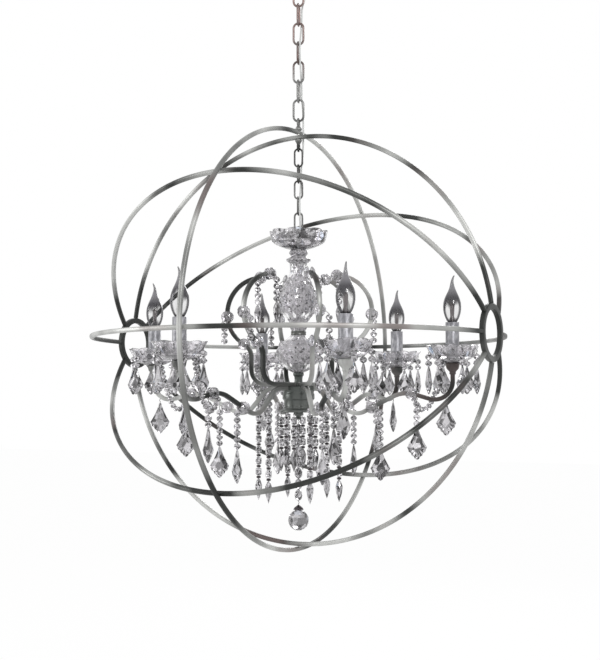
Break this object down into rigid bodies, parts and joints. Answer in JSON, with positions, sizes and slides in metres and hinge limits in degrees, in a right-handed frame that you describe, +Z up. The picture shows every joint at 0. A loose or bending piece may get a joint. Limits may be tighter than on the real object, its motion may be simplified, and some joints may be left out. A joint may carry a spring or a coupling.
{
  "type": "orb chandelier",
  "caption": "Hanging chandelier: candle arms and cut-glass drops on a chain inside a spherical cage of flat hoops, with chain and ceiling canopy.",
  "frame": {"origin": "centre of the ceiling face of the mounting strap, midway between its two screw holes", "axes": "+Z up out of the ceiling face, +X through the two open end rings of the cage, everything hangs towards -Z"},
  "size_m": [0.7918, 0.8172, 1.1536],
  "materials": {
    "silver_iron": "hand-rubbed antique silver over iron",
    "dark_metal": "dark antique silver, turned",
    "plated_steel": "zinc plated",
    "candle_cover": "silver-grey candle cover with a fine drip grain",
    "black_insulator": "moulded phenolic",
    "wire_jacket": "clear jacket over tinned strands",
    "bulb_glass": "clear glass with a metal screw cap",
    "cut_glass": "cut and polished clear glass",
    "crystal": "faceted clear crystal"
  },
  "bodies": {
    "root": {"ceiling_strap": "plated_steel", "canopy_nipple": "plated_steel", "canopy": "silver_iron", "wire_bushing": "black_insulator", "canopy_loop": "silver_iron", "lamp_wire": "wire_jacket"},
    "link_1": {"chain_link_1": "silver_iron"},
    "middle_chain": {"chain_link_2": "silver_iron", "chain_link_3": "silver_iron", "chain_link_4": "silver_iron", "chain_link_5": "silver_iron", "chain_link_6": "silver_iron"},
    "link_7": {"chain_link_7": "silver_iron"},
    "cage": {"outer_hoop": "silver_iron", "meridian_bars": "silver_iron", "oculus_rings": "silver_iron", "hanger_top_loop": "silver_iron", "hanger_stud": "dark_metal", "hanger_bottom_loop": "silver_iron"},
    "inner_link": {"inner_link_1": "silver_iron"},
    "fixture": {"arm_drops": "crystal", "arms": "silver_iron", "ball_glass": "cut_glass", "bobeche_drops": "crystal", "bobeches": "cut_glass", "candle_cups": "silver_iron", "candle_sleeves": "candle_cover", "centre_tube": "dark_metal", "collar_glass_lower": "cut_glass", "collar_glass_upper": "cut_glass", "column_loop": "silver_iron", "crystal_rosettes": "crystal", "festoons": "crystal", "hub_cup": "dark_metal", "hub_finial": "dark_metal", "inner_link_2": "silver_iron", "inner_link_3": "silver_iron", "inner_link_4": "silver_iron", "inner_link_5": "silver_iron", "inner_strands": "crystal", "lamp_sockets": "black_insulator", "metal_ring": "dark_metal", "scroll_drops": "crystal", "stem_collar": "dark_metal", "top_bowl": "cut_glass", "upper_scrolls": "silver_iron", "vase_glass": "cut_glass"},
    "lamp_1": {"bulb_1": "bulb_glass"},
    "lamp_2": {"bulb_2": "bulb_glass"},
    "lamp_3": {"bulb_3": "bulb_glass"},
    "lamp_4": {"bulb_4": "bulb_glass"},
    "lamp_5": {"bulb_5": "bulb_glass"},
    "lamp_6": {"bulb_6": "bulb_glass"},
    "strand_1": {"hub_strand_1": "crystal"},
    "strand_2": {"hub_strand_2": "crystal"},
    "strand_3": {"hub_strand_3": "crystal"},
    "strand_4": {"hub_strand_4": "crystal"},
    "strand_5": {"hub_strand_5": "crystal"},
    "strand_6": {"hub_strand_6": "crystal"},
    "centre_drop_body": {"centre_drop": "crystal"}
  },
  "joints": [
    {"name": "link_1_swing", "type": "hinge", "parent": "root", "child": "link_1", "pos_m": [0, 0, -0.05035], "axis": [-0.309, 0.9511, 0], "range_deg": [-12, 12], "deforming": ["lamp_wire"]},
    {"name": "middle_chain_swing", "type": "hinge", "parent": "link_1", "child": "middle_chain", "pos_m": [0, 0, -0.08865], "axis": [0.9511, 0.309, 0], "range_deg": [-12, 12], "deforming": ["lamp_wire"]},
    {"name": "link_7_swing", "type": "hinge", "parent": "middle_chain", "child": "link_7", "pos_m": [0, 0, -0.28015], "axis": [-0.309, 0.9511, 0], "range_deg": [-12, 12], "deforming": ["lamp_wire"]},
    {"name": "cage_swing", "type": "hinge", "parent": "link_7", "child": "cage", "pos_m": [0, 0, -0.31845], "axis": [0.9511, 0.309, 0], "range_deg": [-12, 12], "deforming": ["lamp_wire"]},
    {"name": "inner_link_swing", "type": "hinge", "parent": "cage", "child": "inner_link", "pos_m": [0, 0, -0.37736], "axis": [-0.309, 0.9511, 0], "range_deg": [-3, 3], "deforming": ["lamp_wire"]},
    {"name": "fixture_swing", "type": "hinge", "parent": "inner_link", "child": "fixture", "pos_m": [0, 0, -0.40861], "axis": [0.9511, 0.309, 0], "range_deg": [-3, 3], "deforming": ["lamp_wire"]},
    {"name": "bulb_1_out", "type": "slide", "parent": "fixture", "child": "lamp_1", "axis": [0, 0, 1], "range_m": [0, 0.03]},
    {"name": "bulb_2_out", "type": "slide", "parent": "fixture", "child": "lamp_2", "axis": [0, 0, 1], "range_m": [0, 0.03]},
    {"name": "bulb_3_out", "type": "slide", "parent": "fixture", "child": "lamp_3", "axis": [0, 0, 1], "range_m": [0, 0.03]},
    {"name": "bulb_4_out", "type": "slide", "parent": "fixture", "child": "lamp_4", "axis": [0, 0, 1], "range_m": [0, 0.03]},
    {"name": "bulb_5_out", "type": "slide", "parent": "fixture", "child": "lamp_5", "axis": [0, 0, 1], "range_m": [0, 0.03]},
    {"name": "bulb_6_out", "type": "slide", "parent": "fixture", "child": "lamp_6", "axis": [0, 0, 1], "range_m": [0, 0.03]},
    {"name": "strand_1_swing", "type": "hinge", "parent": "fixture", "child": "strand_1", "pos_m": [0.07752, 0.01976, -0.87026], "axis": [0.969, 0.247, 0], "range_deg": [-8, 8]},
    {"name": "strand_2_swing", "type": "hinge", "parent": "fixture", "child": "strand_2", "pos_m": [0.02165, 0.07702, -0.87026], "axis": [0.2706, 0.9627, 0], "range_deg": [-8, 8]},
    {"name": "strand_3_swing", "type": "hinge", "parent": "fixture", "child": "strand_3", "pos_m": [-0.05587, 0.05726, -0.87026], "axis": [-0.6984, 0.7157, 0], "range_deg": [-8, 8]},
    {"name": "strand_4_swing", "type": "hinge", "parent": "fixture", "child": "strand_4", "pos_m": [-0.07752, -0.01976, -0.87026], "axis": [-0.969, -0.247, 0], "range_deg": [-8, 8]},
    {"name": "strand_5_swing", "type": "hinge", "parent": "fixture", "child": "strand_5", "pos_m": [-0.02165, -0.07702, -0.87026], "axis": [-0.2706, -0.9627, 0], "range_deg": [-8, 8]},
    {"name": "strand_6_swing", "type": "hinge", "parent": "fixture", "child": "strand_6", "pos_m": [0.05587, -0.05726, -0.87026], "axis": [0.6984, -0.7157, 0], "range_deg": [-8, 8]},
    {"name": "centre_drop_swing", "type": "hinge", "parent": "fixture", "child": "centre_drop_body", "pos_m": [0, 0, -0.90251], "axis": [1, 0, 0], "range_deg": [-8, 8]}
  ]
}
